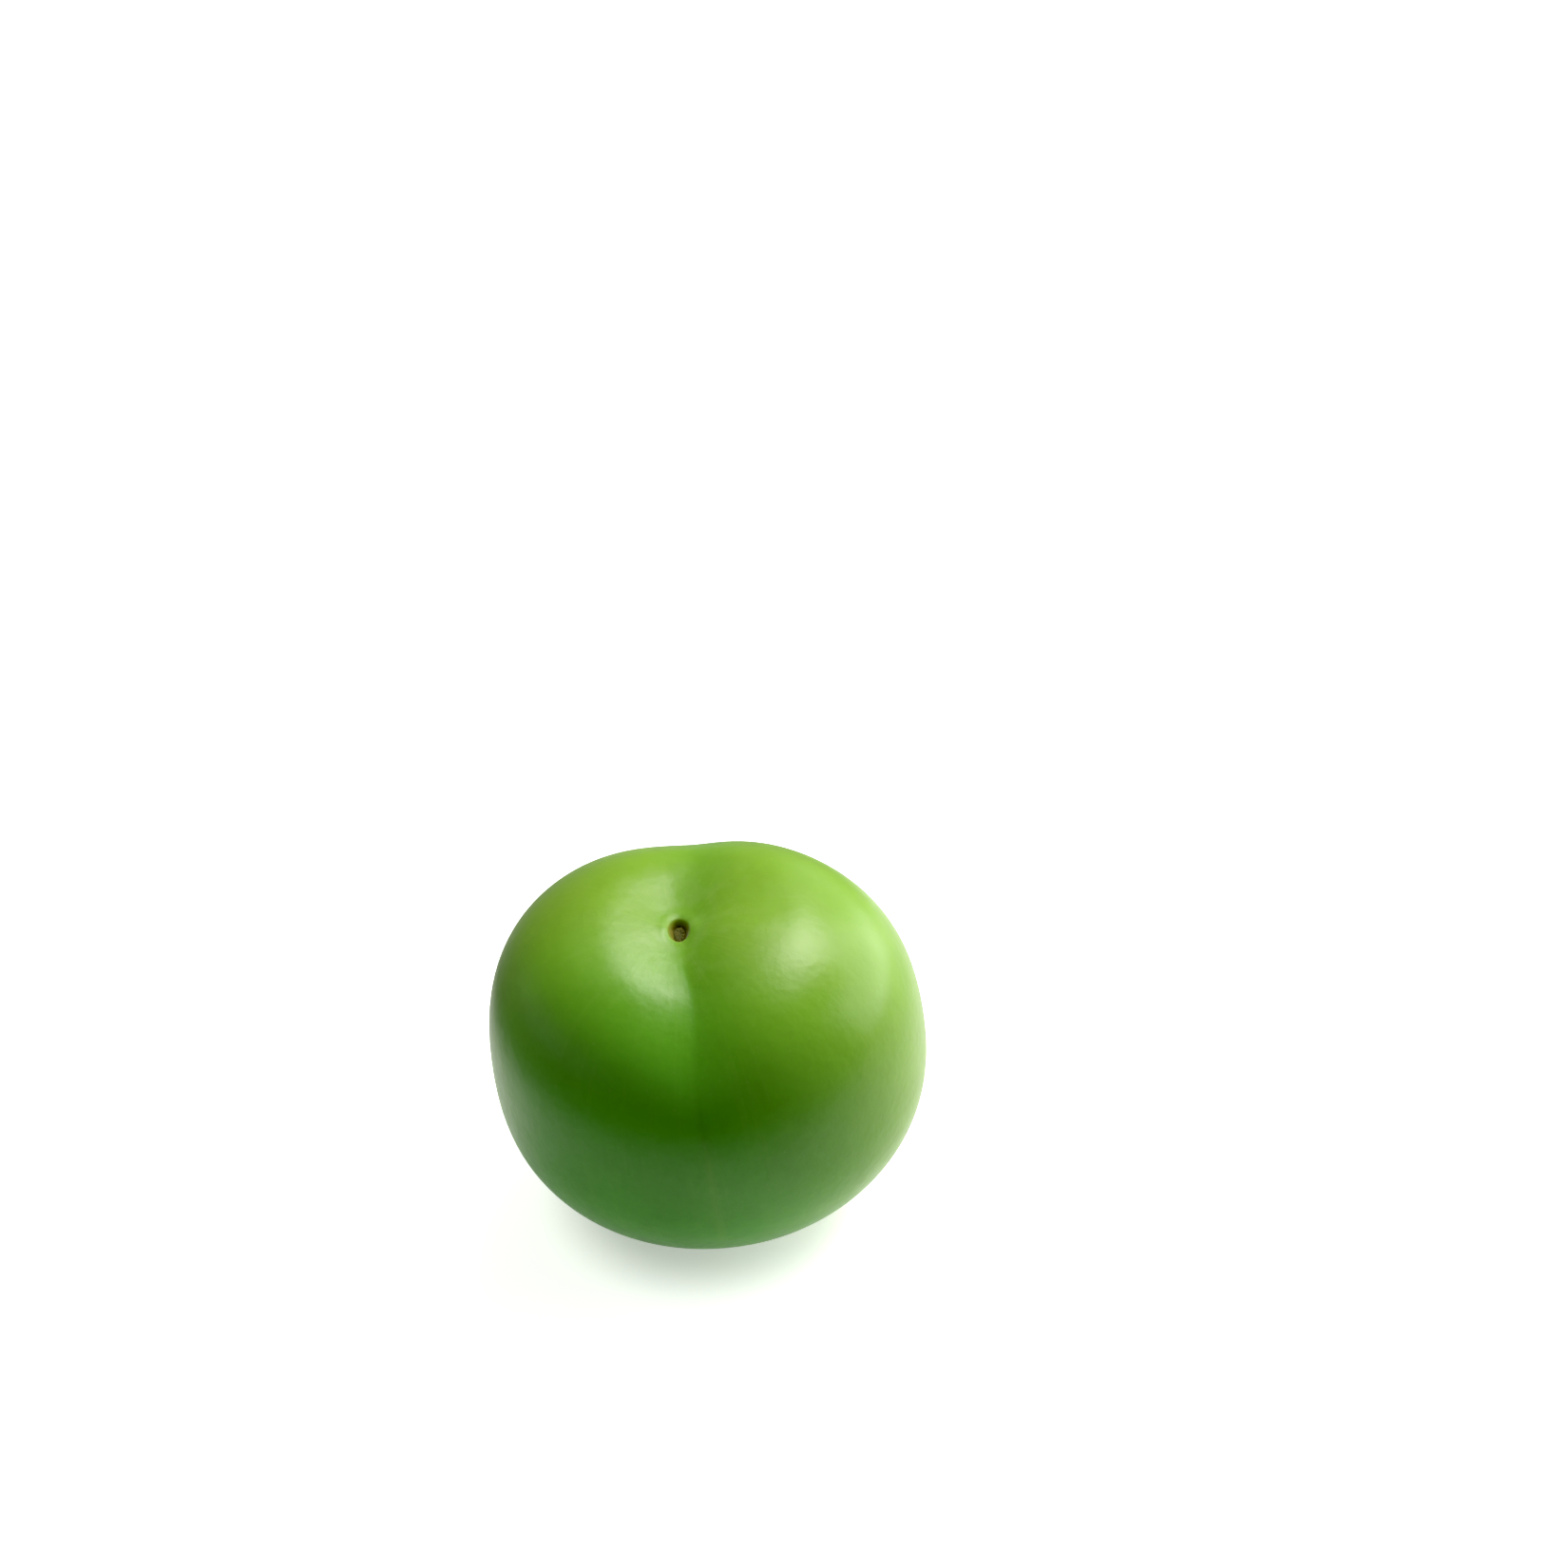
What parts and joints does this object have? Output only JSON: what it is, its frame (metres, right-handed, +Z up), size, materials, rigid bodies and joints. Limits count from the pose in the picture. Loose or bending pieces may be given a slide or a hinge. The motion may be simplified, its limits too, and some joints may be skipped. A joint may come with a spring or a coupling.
{
  "type": "greengage",
  "caption": "Whole ripe green plum with a suture groove, a stem-scar pit in a shallow hollow on top and a small flat resting spot.",
  "frame": {"origin": "middle of the fruit's footprint box, on the plane it rests on", "axes": "-Z into the surface it rests on, +Z up towards the stem scar, -Y towards the suture side, +X from the left cheek to the right cheek"},
  "size_m": [0.036, 0.0328, 0.031],
  "materials": {
    "skin": "waxy"
  },
  "bodies": {
    "root": {"greengage": "skin"}
  },
  "joints": []
}
